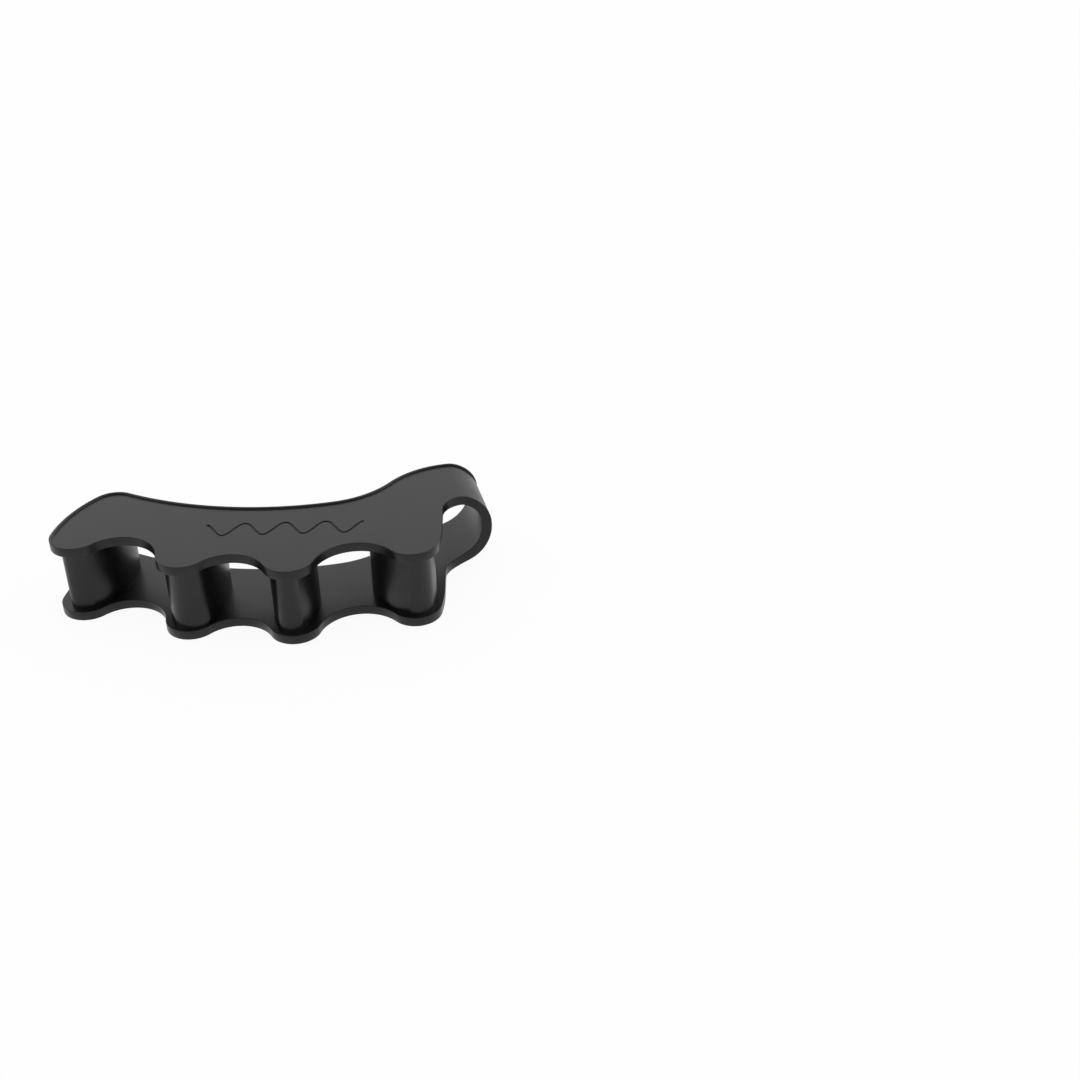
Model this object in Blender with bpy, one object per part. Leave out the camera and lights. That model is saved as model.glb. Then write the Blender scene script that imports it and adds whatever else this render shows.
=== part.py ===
"""Toe separator: one soft rubber moulding that holds the five toes apart.

Two thin plates of one wavy outline lie one above the other. Four upright posts
between them leave three toe gaps. At the big toe's end the top plate turns
round and down into the bottom plate, which makes the loop for the big toe.
A half-round bead runs along the back edge, and a wave is sunk into the top.

Metres, +Z up. +X runs along the row of toes to the loop, -Y to the toe tips.
The origin is the middle of the underside.
"""
import math
from dataclasses import dataclass, replace

import bmesh
import bpy
from mathutils import Vector

MM = 0.001

# Plates and edges
HEIGHT = 19.5 * MM
DEPTH = 47.9 * MM
WALL = 2.3 * MM
EDGE_ROUND = 0.3 * MM

# Front edge: four lobes, one before each post, with a round scallop between two
LOBE_RADIUS = 6.0 * MM
LOBE_X = (-44.2 * MM, -18.4 * MM, 5.6 * MM, 32.7 * MM)
LOBE_FRONT = (-13.7 * MM, -22.0 * MM, -24.4 * MM, -18.1 * MM)
SCALLOP_RADIUS = (8.9 * MM, 8.75 * MM, 9.8 * MM)

# Loop for the big toe: its section in X and Z, swept back at a slant
SIDE_STEP = 0.2 * MM
CORNER_RADIUS = 5.5 * MM
LOOP_WIDTH = 16.2 * MM
LOOP_OUT = 11.2 * MM
LOOP_TOP_RADIUS = 7.5 * MM
LOOP_LOWER_RADIUS = 11.7 * MM
LOOP_SLANT = math.radians(14.0)
SIDE_X = LOBE_X[-1] + LOBE_RADIUS + SIDE_STEP
LOOP_REACH = SIDE_X + LOOP_OUT
LOOP_BACK = min(LOBE_FRONT) + DEPTH
LOOP_FRONT = LOOP_BACK - LOOP_WIDTH

# Back edge: a crest behind the loop, a long hollow and a hump at the little toe
CREST_X = LOOP_REACH - LOOP_TOP_RADIUS
CREST_RADIUS = 21.0 * MM
HOLLOW_LOW = 5.1 * MM
HOLLOW_RADIUS = 20.4 * MM
BACK_RADIUS = 72.5 * MM
HUMP_X = -38.6 * MM
HUMP_BACK = 11.7 * MM
HUMP_RADIUS = 6.4 * MM
END_RADIUS = 30.4 * MM

# Posts, from the little toe to the big toe: egg-shaped feet, with round noses
# set back from the lobes, full flanks and rounded backs
NOSE_X = (-42.4 * MM, -18.1 * MM, 5.1 * MM, 32.4 * MM)
NOSE_RADIUS = (5.0 * MM, 5.2 * MM, 4.6 * MM, 4.8 * MM)
NOSE_SETBACK = (1.9 * MM, 1.4 * MM, 1.9 * MM, 1.6 * MM)
FOOT_LEFT = (-43.8 * MM, -21.4 * MM, 0.6 * MM, 21.9 * MM)
FOOT_RIGHT = (-35.4 * MM, -11.3 * MM, 10.2 * MM, 37.4 * MM)
FOOT_BACK = (9.0 * MM, 0.2 * MM, -3.6 * MM, -2.2 * MM)
FOOT_RADIUS = (3.8 * MM, 4.4 * MM, 4.4 * MM, 5.0 * MM)
LEFT_FLANK_RADIUS = (60.0 * MM, 60.0 * MM, 60.0 * MM, 22.0 * MM)
RIGHT_FLANK_RADIUS = (25.0 * MM, 36.0 * MM, 60.0 * MM, 40.0 * MM)
END_CORNER_RADIUS = 2.2 * MM
END_CORNER_SIDE = 2.9 * MM
END_CORNER_FRONT = 2.6 * MM
POST_FILLET = 0.2 * MM
FILLET_SINK = 0.02 * MM

# Bead along the back edge
BEAD_RADIUS = 0.5 * MM
BEAD_PROUD = 0.45 * MM
BEAD_FADE = 5.0 * MM
BEAD_END_SINK = 0.15 * MM
BEAD_END_TURN = math.radians(35.0)

# Wave in the top face
WAVE_START = -14.9 * MM
WAVE_MIDDLE = -6.4 * MM
WAVE_PERIOD = 9.25 * MM
WAVE_HEIGHT = 5.0 * MM
WAVE_TROUGHS = 4
WAVE_RUN_IN = 0.44
WAVE_RISE = 0.025
WAVE_GROOVE_RADIUS = 0.33 * MM
WAVE_GROOVE_DEPTH = 0.38 * MM

# Rubber
RUBBER_COLOUR = (0.018, 0.018, 0.019, 1.0)
RUBBER_ROUGHNESS = 0.42

# How finely curves are divided, and how far cutters reach past the body
ARC_STEP = math.radians(9.0)
LONGEST_CHORD = 2.4 * MM
FILLET_STEPS = 3
BEAD_BEND_STEPS = 12
BEAD_BEND_PASSES = 4
BEAD_TURN_STEPS = 5
WAVE_STEPS = 12
TUBE_RESOLUTION = 2
RIM_STEPS = 2
OVERSHOOT = 6.0 * MM
WELD = 0.02 * MM

# Turns and angles that tell one case from another
LOOPED_TURN = math.pi * 1.25
WHOLE_TURN = math.pi * 1.999
RIM_ANGLE = math.radians(50.0)
SHARP_ANGLE = math.radians(20.0)


@dataclass(frozen=True)
class Arc:
    """A circle that an outline runs round: bulge +1 is a lobe, -1 is a hollow."""

    x: float
    y: float
    radius: float
    bulge: int = 1

    @property
    def centre(self):
        """The middle of the circle."""
        return Vector((self.x, self.y))

    def grown(self, distance):
        """The same arc of the outline moved outwards by a distance."""
        return replace(self, radius=self.radius + self.bulge * distance)

    def point(self, normal):
        """Where the outline's outward normal has this direction."""
        return self.centre + self.bulge * self.radius * normal


def held_between(start, start_reach, end, end_reach, side):
    """Point at two given distances from two points, on one side of the line between them."""
    along = end - start
    span = along.length
    along = along / span
    forward = (start_reach ** 2 - end_reach ** 2 + span ** 2) / (2 * span)
    sideways = math.sqrt(max(0.0, start_reach ** 2 - forward ** 2))
    across = Vector((-along.y, along.x))
    return start + forward * along + side * sideways * across


def belt_normal(arc, following):
    """Outward normal of the straight stretch that leaves one arc for the next."""
    gap = following.centre - arc.centre
    lean = (arc.bulge * arc.radius - following.bulge * following.radius) / gap.length
    lean = max(-1.0, min(1.0, lean))
    along = gap.normalized()
    across = Vector((along.y, -along.x))
    return lean * along + math.sqrt(1.0 - lean * lean) * across


def turn_at(before, arc, after):
    """First normal on an arc and the signed angle that the outline turns there."""
    first = belt_normal(before, arc)
    last = belt_normal(arc, after)
    start = math.atan2(first.y, first.x)
    turn = (math.atan2(last.y, last.x) - start) * arc.bulge
    return start, turn % (2 * math.pi)


def belt(arcs):
    """Points of a closed outline round the arcs, each with the index of its arc.

    An arc that the outline would have to loop right round isn't touched by it,
    and is left out.
    """
    arcs = list(arcs)
    index = 0
    while index < len(arcs):
        start, turn = turn_at(arcs[index - 1], arcs[index], arcs[(index + 1) % len(arcs)])
        if LOOPED_TURN < turn < WHOLE_TURN:
            arcs.pop(index)
            index = 0
        else:
            index += 1
    points = []
    for index, arc in enumerate(arcs):
        start, turn = turn_at(arcs[index - 1], arc, arcs[(index + 1) % len(arcs)])
        if turn > WHOLE_TURN:
            turn = 0.0
        step = min(ARC_STEP, LONGEST_CHORD / arc.radius)
        count = max(1, math.ceil(turn / step))
        for k in range(count + 1):
            angle = start + arc.bulge * turn * k / count
            normal = Vector((math.cos(angle), math.sin(angle)))
            points.append((arc.point(normal), arc))
    return points


def clean_loop(points):
    """The points without those that lie on the one before."""
    return [p for k, p in enumerate(points) if (p - points[k - 1]).length > WELD]


def lobe_arcs():
    """The four lobes of the front edge."""
    return [Arc(x, front + LOBE_RADIUS, LOBE_RADIUS) for x, front in zip(LOBE_X, LOBE_FRONT)]


def scallop_between(left, right, radius):
    """The hollow of a given radius that touches the two lobes beside it."""
    centre = held_between(left.centre, left.radius + radius, right.centre, right.radius + radius, -1)
    return Arc(*centre, radius, -1)


def flank_between(first, second, radius):
    """The full flank of a given radius that two rounded ends touch from inside."""
    centre = held_between(first.centre, radius - first.radius, second.centre, radius - second.radius, 1)
    return Arc(*centre, radius)


def front_arcs():
    """Lobes and scallops in turn, from the little toe to the big toe."""
    lobes = lobe_arcs()
    arcs = [lobes[0]]
    for left, right, radius in zip(lobes, lobes[1:], SCALLOP_RADIUS):
        arcs.append(scallop_between(left, right, radius))
        arcs.append(right)
    return arcs


def loop_arcs():
    """The inner corner beside the loop, and two corners out past the loop's reach."""
    inner = Arc(SIDE_X + CORNER_RADIUS, LOOP_FRONT - CORNER_RADIUS, CORNER_RADIUS, -1)
    past = LOOP_REACH + OVERSHOOT
    front = Arc(past, LOOP_FRONT + EDGE_ROUND, EDGE_ROUND)
    back = Arc(past, LOOP_BACK - EDGE_ROUND, EDGE_ROUND)
    return [inner, front, back]


def back_arcs():
    """Crest, hollow, long back edge, hump and little-toe end, from the loop round to the front."""
    crest = Arc(CREST_X, LOOP_BACK - CREST_RADIUS, CREST_RADIUS)
    low = HOLLOW_LOW + HOLLOW_RADIUS
    reach = crest.radius + HOLLOW_RADIUS
    hollow_x = crest.x - math.sqrt(max(0.0, reach ** 2 - (low - crest.y) ** 2))
    hollow = Arc(hollow_x, low, HOLLOW_RADIUS, -1)
    hump = Arc(HUMP_X, HUMP_BACK - HUMP_RADIUS, HUMP_RADIUS)
    back_centre = held_between(hollow.centre, BACK_RADIUS - hollow.radius,
                               hump.centre, BACK_RADIUS + hump.radius, -1)
    back = Arc(*back_centre, BACK_RADIUS, -1)
    end = flank_between(hump, lobe_arcs()[0], END_RADIUS)
    return [crest, hollow, back, hump, end]


def plate_arcs():
    """The whole outline that both plates and the loop share."""
    return front_arcs() + loop_arcs() + back_arcs()


def loop_section():
    """Centres of the two arcs of the loop's outer section, in X and Z at the loop's front."""
    top = Vector((LOOP_REACH - LOOP_TOP_RADIUS, HEIGHT - LOOP_TOP_RADIUS))
    between = LOOP_LOWER_RADIUS - LOOP_TOP_RADIUS
    rise = LOOP_LOWER_RADIUS - top.y
    lower = Vector((top.x - math.sqrt(max(0.0, between ** 2 - rise ** 2)), LOOP_LOWER_RADIUS))
    join = math.atan2(top.y - lower.y, top.x - lower.x)
    return top, lower, join


def arc_points(centre, radius, start, end):
    """Points along an arc, both ends included."""
    count = max(2, math.ceil(abs(end - start) / ARC_STEP))
    angles = [start + (end - start) * k / count for k in range(count + 1)]
    return [Vector((centre.x + radius * math.cos(a), centre.y + radius * math.sin(a))) for a in angles]


def band_profile():
    """The plates and the loop as one open band, seen from the front, in X and Z."""
    top_arc, lower_arc, join = loop_section()
    past = LOBE_X[0] - LOBE_RADIUS - LOOP_REACH
    up = math.pi / 2
    outer = arc_points(lower_arc, LOOP_LOWER_RADIUS, -up, join)
    outer += arc_points(top_arc, LOOP_TOP_RADIUS, join, up)[1:]
    inner = arc_points(top_arc, LOOP_TOP_RADIUS - WALL, up, join)
    inner += arc_points(lower_arc, LOOP_LOWER_RADIUS - WALL, join, -up)[1:]
    bottom = [Vector((past, z)) for z in (WALL, 0.0)]
    top = [Vector((past, z)) for z in (HEIGHT, HEIGHT - WALL)]
    return bottom + outer + top + inner


def new_object(name, bm):
    """An object in the scene that holds a finished bmesh."""
    bmesh.ops.recalc_face_normals(bm, faces=bm.faces)
    mesh = bpy.data.meshes.new(name)
    bm.to_mesh(mesh)
    bm.free()
    obj = bpy.data.objects.new(name, mesh)
    bpy.context.scene.collection.objects.link(obj)
    return obj


def extruded(name, points, vector):
    """A flat outline pushed along a vector."""
    bm = bmesh.new()
    face = bm.faces.new([bm.verts.new(p) for p in points])
    pushed = bmesh.ops.extrude_face_region(bm, geom=[face])["geom"]
    moved = [v for v in pushed if isinstance(v, bmesh.types.BMVert)]
    bmesh.ops.translate(bm, verts=moved, vec=vector)
    return new_object(name, bm)


def lofted(name, rings):
    """A closed body through rings of points, one above the other."""
    bm = bmesh.new()
    loops = []
    for ring in rings:
        verts = [bm.verts.new(p) for p in ring]
        loops.append([bm.edges.new((verts[k - 1], verts[k])) for k in range(len(verts))])
    for low, high in zip(loops, loops[1:]):
        bmesh.ops.bridge_loops(bm, edges=low + high)
    for loop in (loops[0], loops[-1]):
        bmesh.ops.contextual_create(bm, geom=loop)
    return new_object(name, bm)


def tube(name, points, radius):
    """A round bar along a line of points, with flat ends."""
    curve = bpy.data.curves.new(name, "CURVE")
    curve.dimensions = "3D"
    curve.bevel_depth = radius
    curve.bevel_resolution = TUBE_RESOLUTION
    curve.use_fill_caps = True
    spline = curve.splines.new("POLY")
    spline.points.add(len(points) - 1)
    for target, point in zip(spline.points, points):
        target.co = (*point, 1.0)
    bar = bpy.data.objects.new(name, curve)
    bpy.context.scene.collection.objects.link(bar)
    bm = bmesh.new()
    bm.from_mesh(evaluated_mesh(bar))
    bmesh.ops.remove_doubles(bm, verts=bm.verts, dist=WELD / 4)
    bpy.data.objects.remove(bar)
    return new_object(name, bm)


def evaluated_mesh(obj):
    """A new mesh of the object with its modifiers or its bevel applied."""
    bpy.context.view_layer.update()
    depsgraph = bpy.context.evaluated_depsgraph_get()
    return bpy.data.meshes.new_from_object(obj.evaluated_get(depsgraph))


def combine(body, tool, operation):
    """Joins, cuts or intersects the body with a tool, which is then removed."""
    step = body.modifiers.new(operation.lower(), "BOOLEAN")
    step.operation = operation
    step.solver = "EXACT"
    step.object = tool
    result = evaluated_mesh(body)
    body.modifiers.remove(step)
    body.data = result
    bpy.data.objects.remove(tool)


def make_band():
    """Both plates and the loop: the band, cut to the plates' outline."""
    slant = math.tan(LOOP_SLANT)
    front = min(LOBE_FRONT) - OVERSHOOT
    depth = LOOP_BACK + OVERSHOOT - front
    shift = (LOOP_FRONT - front) * slant
    profile = [Vector((p.x + shift, front, p.y)) for p in clean_loop(band_profile())]
    band = extruded("toe_separator", profile, Vector((-slant * depth, depth, 0.0)))
    outline = clean_loop([point for point, arc in belt(plate_arcs())])
    below = [Vector((p.x, p.y, -OVERSHOOT)) for p in outline]
    cutter = extruded("outline", below, Vector((0.0, 0.0, HEIGHT + 2 * OVERSHOOT)))
    combine(band, cutter, "INTERSECT")
    return band


def round_rims(body):
    """Rounds the two rims, where the plates' faces meet the outline's walls."""
    bm = bmesh.new()
    bm.from_mesh(body.data)
    bmesh.ops.remove_doubles(bm, verts=bm.verts, dist=EDGE_ROUND / 3)
    rims = [e for e in bm.edges if e.is_manifold and e.calc_face_angle() > RIM_ANGLE]
    bmesh.ops.bevel(bm, geom=rims, offset=EDGE_ROUND, offset_type="OFFSET", segments=RIM_STEPS, profile=0.5,
                    affect="EDGES", clamp_overlap=True, material=-1)
    bm.to_mesh(body.data)
    bm.free()


def post_arcs(index):
    """The outline of a post's foot: its nose, a full flank on either side and two corners at its back.

    The first post has one more corner, at the outer side of its nose.
    """
    radius = NOSE_RADIUS[index]
    corner = FOOT_RADIUS[index]
    back = FOOT_BACK[index] - corner
    nose = Arc(NOSE_X[index], LOBE_FRONT[index] + NOSE_SETBACK[index] + radius, radius)
    right = Arc(FOOT_RIGHT[index] - corner, back, corner)
    left = Arc(FOOT_LEFT[index] + corner, back, corner)
    arcs = [nose, flank_between(nose, right, RIGHT_FLANK_RADIUS[index]), right, left]
    if index > 0:
        return arcs + [flank_between(left, nose, LEFT_FLANK_RADIUS[index])]
    outer = Arc(nose.x - END_CORNER_SIDE, nose.y - END_CORNER_FRONT, END_CORNER_RADIUS)
    return arcs + [flank_between(left, outer, LEFT_FLANK_RADIUS[index]), outer]


def make_post(index):
    """A post that flares out into both plates with a fillet, sunk halfway into each."""
    fillet = min(POST_FILLET, NOSE_SETBACK[index] - 2 * EDGE_ROUND)
    foot = WALL - FILLET_SINK
    stations = [(WALL / 2, fillet)]
    for k in range(FILLET_STEPS + 1):
        angle = math.pi / 2 * k / FILLET_STEPS
        stations.append((foot + fillet * (1 - math.cos(angle)), fillet * (1 - math.sin(angle))))
    stations += [(HEIGHT - z, flare) for z, flare in reversed(stations)]
    arcs = post_arcs(index)
    rings = []
    for z, flare in stations:
        around = belt([arc.grown(flare) for arc in arcs])
        rings.append([Vector((p.x, p.y, z)) for p, arc in around])
    return lofted("post", rings)


def bead_path():
    """The bead's centre line, from the loop's outer side round the back to the little toe's lobe."""
    top, lower, join = loop_section()
    inset = EDGE_ROUND + BEAD_RADIUS
    slant = math.tan(LOOP_SLANT)
    arcs = [arc.grown(-inset) for arc in plate_arcs()]
    back = [point for point, arc in belt(arcs) if arc in arcs[-5:-1]]
    end = [point for point, arc in belt(arcs) if arc in arcs[-1:]]
    crest = arcs[-5]
    bent = []
    for k in range(BEAD_BEND_STEPS + 1):
        angle = join + (math.pi / 2 - join) * k / BEAD_BEND_STEPS
        y = LOOP_BACK - inset
        for pass_number in range(BEAD_BEND_PASSES):
            x = top.x + LOOP_TOP_RADIUS * math.cos(angle) - (y - LOOP_FRONT) * slant
            if x < crest.x:
                y = crest.y + math.sqrt(crest.radius ** 2 - (crest.x - x) ** 2)
        bent.append((Vector((x, y, top.y + LOOP_TOP_RADIUS * math.sin(angle))),
                     Vector((math.cos(angle), 0.0, math.sin(angle)))))
    flat = [p for p in back + end if p.x < bent[-1][0].x - LONGEST_CHORD / 2]
    first = arcs[0]
    turn = [math.pi + BEAD_END_TURN * k / BEAD_TURN_STEPS for k in range(BEAD_TURN_STEPS + 1)]
    start = math.atan2(end[-1].y - first.y, end[-1].x - first.x) % (2 * math.pi)
    flat += [Vector((first.x + first.radius * math.cos(a), first.y + first.radius * math.sin(a)))
             for a in turn if a > start]
    up = Vector((0.0, 0.0, 1.0))
    return bent + [(Vector((p.x, p.y, HEIGHT)), up) for p in clean_loop(flat)]


def make_bead():
    """A half-round bead that sinks into the surface at both ends."""
    path = bead_path()
    travelled = [0.0]
    for before, after in zip(path, path[1:]):
        travelled.append(travelled[-1] + (after[0] - before[0]).length)
    points = []
    for (point, normal), distance in zip(path, travelled):
        fade = min(1.0, distance / BEAD_FADE, (travelled[-1] - distance) / BEAD_FADE)
        depth = BEAD_RADIUS - BEAD_PROUD * fade * (2 - fade) + BEAD_END_SINK * (1 - fade)
        points.append(point - normal * depth)
    return tube("bead", points, BEAD_RADIUS)


def make_wave():
    """The cutter for the wave in the top face."""
    trough = WAVE_PERIOD * WAVE_RUN_IN
    length = trough * 2 + WAVE_PERIOD * (WAVE_TROUGHS - 1)
    count = WAVE_TROUGHS * WAVE_STEPS
    z = HEIGHT + WAVE_GROOVE_RADIUS - WAVE_GROOVE_DEPTH
    points = []
    for k in range(count + 1):
        along = length * k / count
        phase = 2 * math.pi * (along - trough) / WAVE_PERIOD
        y = WAVE_MIDDLE - WAVE_HEIGHT / 2 * math.cos(phase) + WAVE_RISE * along
        points.append(Vector((WAVE_START + along, y, z)))
    return tube("wave", points, WAVE_GROOVE_RADIUS)


def rubber():
    """Black moulded silicone rubber with a satin surface."""
    material = bpy.data.materials.new("black_silicone")
    material.use_nodes = True
    shader = material.node_tree.nodes["Principled BSDF"]
    shader.inputs["Base Color"].default_value = RUBBER_COLOUR
    shader.inputs["Roughness"].default_value = RUBBER_ROUGHNESS
    shader.inputs["Metallic"].default_value = 0.0
    return material


def settle(body):
    """Puts the origin in the middle of the underside, and shades the round faces smooth."""
    corners = [Vector(c) for c in body.bound_box]
    low = Vector([min(c[k] for c in corners) for k in range(3)])
    high = Vector([max(c[k] for c in corners) for k in range(3)])
    middle = Vector(((low.x + high.x) / 2, (low.y + high.y) / 2, low.z))
    bm = bmesh.new()
    bm.from_mesh(body.data)
    bmesh.ops.translate(bm, verts=bm.verts, vec=-middle)
    bm.to_mesh(body.data)
    bm.free()
    body.data.shade_smooth()
    body.data.set_sharp_from_angle(angle=SHARP_ANGLE)


def main():
    """Builds the toe separator."""
    for old in list(bpy.data.objects):
        bpy.data.objects.remove(old)
    body = make_band()
    round_rims(body)
    for index in range(len(LOBE_X)):
        combine(body, make_post(index), "UNION")
    combine(body, make_bead(), "UNION")
    combine(body, make_wave(), "DIFFERENCE")
    settle(body)
    body.data.materials.clear()
    body.data.materials.append(rubber())


main()
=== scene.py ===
"""Looks of the toe separator: one soft moulding of satin black silicone.

The moulding is built again here, finer than the solid that it stands for. Two
plates of one wavy outline are joined by four posts. At the big toe's end they
run into each other round a loop. A bead follows the back edge, and a wave is
sunk into the top. Sizes are in metres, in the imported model's own frame.
"""

import logging
import math
from dataclasses import dataclass, replace
from enum import Enum
from typing import Any, Iterable, Optional, Union

import bmesh
import bpy
from mathutils import Matrix, Vector


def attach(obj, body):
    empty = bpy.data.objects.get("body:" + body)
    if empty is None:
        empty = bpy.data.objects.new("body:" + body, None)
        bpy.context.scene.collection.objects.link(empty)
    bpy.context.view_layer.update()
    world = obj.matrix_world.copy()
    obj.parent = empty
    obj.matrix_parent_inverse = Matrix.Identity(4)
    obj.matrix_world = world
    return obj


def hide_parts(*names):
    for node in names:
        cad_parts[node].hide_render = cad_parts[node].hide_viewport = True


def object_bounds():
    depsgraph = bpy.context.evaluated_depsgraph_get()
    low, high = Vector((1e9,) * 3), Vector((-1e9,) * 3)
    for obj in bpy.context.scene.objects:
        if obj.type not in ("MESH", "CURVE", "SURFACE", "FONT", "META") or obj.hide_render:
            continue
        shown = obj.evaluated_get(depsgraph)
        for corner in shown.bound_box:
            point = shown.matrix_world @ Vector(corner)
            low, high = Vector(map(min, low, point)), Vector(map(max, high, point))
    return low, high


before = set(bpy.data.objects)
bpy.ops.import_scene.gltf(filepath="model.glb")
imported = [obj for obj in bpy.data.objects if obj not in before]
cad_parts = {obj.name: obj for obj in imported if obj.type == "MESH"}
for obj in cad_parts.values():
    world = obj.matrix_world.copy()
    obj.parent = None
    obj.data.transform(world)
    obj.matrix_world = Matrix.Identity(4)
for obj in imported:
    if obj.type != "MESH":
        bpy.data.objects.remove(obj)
CAD_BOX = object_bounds()

LOG = logging.getLogger("toe_separator")
MM = 0.001
NODE = "toe_separator"


class Bulge(Enum):
    """Which way an outline bends where it runs round a circle."""

    LOBE = 1
    HOLLOW = -1


class Joining(Enum):
    """How a tool's form changes the moulding."""

    ADD = "UNION"
    CUT = "DIFFERENCE"
    KEEP_COMMON = "INTERSECT"


@dataclass(frozen=True)
class Round:
    """A circle that an outline runs round, in the plane of the plates."""

    x: float
    y: float
    radius: float
    bulge: Bulge = Bulge.LOBE

    @property
    def centre(self) -> Vector:
        """The circle's middle."""
        return Vector((self.x, self.y))

    @property
    def reach(self) -> float:
        """The radius, negative for a hollow."""
        return self.bulge.value * self.radius

    def grown(self, distance: float) -> "Round":
        """The same circle for the outline moved outwards by a distance."""
        return replace(self, radius=self.radius + self.bulge.value * distance)


@dataclass(frozen=True)
class Stretch:
    """The part of a circle that an outline touches."""

    round: Round
    start: float
    turn: float


@dataclass(frozen=True)
class Belt:
    """A closed outline that runs tightly round circles, like a belt round pulleys."""

    rounds: tuple[Round, ...]
    step: float = math.radians(4.5)
    longest: float = 1.2 * MM
    weld: float = 0.02 * MM
    least_gap: float = 0.05 * MM
    whole_turn: float = 1.999 * math.pi

    def grown(self, distance: float) -> "Belt":
        """The outline moved outwards by a distance."""
        return replace(self, rounds=tuple(r.grown(distance) for r in self.rounds))

    @staticmethod
    def normal_between(first: Round, second: Round) -> Vector:
        """Direction that faces outwards from the straight run between two circles.

        Args:
            first: The circle that the run leaves.
            second: The circle that it arrives at.

        Returns:
            A unit vector in the plane of the plates.
        """
        gap = second.centre - first.centre
        lean = max(-1.0, min(1.0, (first.reach - second.reach) / gap.length))
        along = gap.normalized()
        across = Vector((along.y, -along.x))
        return lean * along + math.sqrt(1.0 - lean * lean) * across

    def stretches(self) -> list[Stretch]:
        """The touched part of each circle, in the order that the outline runs.

        Returns:
            One stretch for each circle, with its first angle and its turn. A turn
            that comes out as a whole one is a touch at a single point, so it is none.
        """
        found = []
        for k, here in enumerate(self.rounds):
            into = self.normal_between(self.rounds[k - 1], here)
            out = self.normal_between(here, self.rounds[(k + 1) % len(self.rounds)])
            start = math.atan2(into.y, into.x)
            turn = (math.atan2(out.y, out.x) - start) * here.bulge.value % math.tau
            if turn > self.whole_turn:
                turn = 0.0
            found.append(Stretch(here, start, turn))
        return found

    def steps(self, stretch: Stretch) -> int:
        """How many chords stand for one stretch."""
        chord = min(self.step, self.longest / stretch.round.radius)
        return max(1, math.ceil(stretch.turn / chord))

    def face(self, bm: bmesh.types.BMesh, z: float) -> bmesh.types.BMFace:
        """Draws the outline with one spin for each circle, and fills it.

        Args:
            bm: The mesh that takes the face.
            z: The height of the face.

        Returns:
            The filled face, which looks up.
        """
        first: Optional[bmesh.types.BMVert] = None
        last: Optional[bmesh.types.BMVert] = None
        for stretch in self.stretches():
            here = stretch.round
            spoke = Vector((math.cos(stretch.start), math.sin(stretch.start))) * here.reach
            centre = Vector((here.x, here.y, z))
            vert = bmesh.ops.create_vert(bm, co=centre + spoke.to_3d())["vert"][0]
            if last is None:
                first = vert
            else:
                bm.edges.new((last, vert))
            swept = bmesh.ops.spin(
                bm, geom=[vert], cent=centre, axis=(0.0, 0.0, 1.0), dvec=(0.0, 0.0, 0.0),
                angle=here.bulge.value * stretch.turn, steps=self.steps(stretch), use_duplicate=False)
            last = of_kind(swept["geom_last"], bmesh.types.BMVert)[0]
        bm.edges.new((last, first))
        bmesh.ops.remove_doubles(bm, verts=bm.verts, dist=self.weld)
        made = bmesh.ops.contextual_create(bm, geom=list(bm.edges))["faces"]
        bmesh.ops.recalc_face_normals(bm, faces=made)
        if made[0].normal.z < 0:
            bmesh.ops.reverse_faces(bm, faces=made)
        return made[0]

    def points(self, wanted: Iterable[int]) -> list[Vector]:
        """Points along the touched parts of some of the circles.

        Args:
            wanted: The places of those circles in the belt, in running order.

        Returns:
            The points in order, none of them twice.
        """
        stretches = self.stretches()
        found: list[Vector] = []
        for k in wanted:
            stretch = stretches[k]
            count = self.steps(stretch)
            for i in range(count + 1):
                angle = stretch.start + stretch.round.bulge.value * stretch.turn * i / count
                spoke = Vector((math.cos(angle), math.sin(angle)))
                point = stretch.round.centre + stretch.round.reach * spoke
                if not found or (point - found[-1]).length > self.least_gap:
                    found.append(point)
        return found


def held_between(first: Vector, reach_first: float, second: Vector, reach_second: float,
                 side: int) -> Vector:
    """Finds the point at two given distances from two points.

    Args:
        first: The first point.
        reach_first: The distance from it.
        second: The second point.
        reach_second: The distance from that one.
        side: 1 for the left of the line from first to second, and -1 for its right.

    Returns:
        The point, or the nearest one on the line if the distances are too short to meet.
    """
    along = second - first
    span = along.length
    along = along / span
    forward = (reach_first ** 2 - reach_second ** 2 + span ** 2) / (2 * span)
    sideways = math.sqrt(max(0.0, reach_first ** 2 - forward ** 2))
    return first + forward * along + side * sideways * Vector((-along.y, along.x))


def of_kind(geometry: Iterable[Any], kind: type) -> list[Any]:
    """The vertices, edges or faces among what an operator gives back, in its order."""
    return [item for item in geometry if isinstance(item, kind)]


def object_from(bm: bmesh.types.BMesh, name: str) -> bpy.types.Object:
    """Puts a finished bmesh into the scene as an object.

    Args:
        bm: The mesh, which is freed.
        name: The object's name.

    Returns:
        The new object, at the origin.
    """
    bmesh.ops.recalc_face_normals(bm, faces=bm.faces)
    mesh = bpy.data.meshes.new(name)
    bm.to_mesh(mesh)
    bm.free()
    made = bpy.data.objects.new(name, mesh)
    bpy.context.scene.collection.objects.link(made)
    return made


def evaluated(source: bpy.types.Object) -> bpy.types.Mesh:
    """A new mesh of an object with its modifiers or its curve's bevel applied."""
    bpy.context.view_layer.update()
    return bpy.data.meshes.new_from_object(source.evaluated_get(bpy.context.evaluated_depsgraph_get()))


def join(body: bpy.types.Object, tool: bpy.types.Object, how: Joining) -> None:
    """Adds, cuts or intersects a body with a tool, which is used up.

    Args:
        body: The object that changes.
        tool: The form that changes it.
        how: What is done with the two.
    """
    step = body.modifiers.new("join", "BOOLEAN")
    step.operation = how.value
    step.solver = "EXACT"
    step.object = tool
    result = evaluated(body)
    body.modifiers.remove(step)
    body.data = result
    bpy.data.objects.remove(tool)


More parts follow.
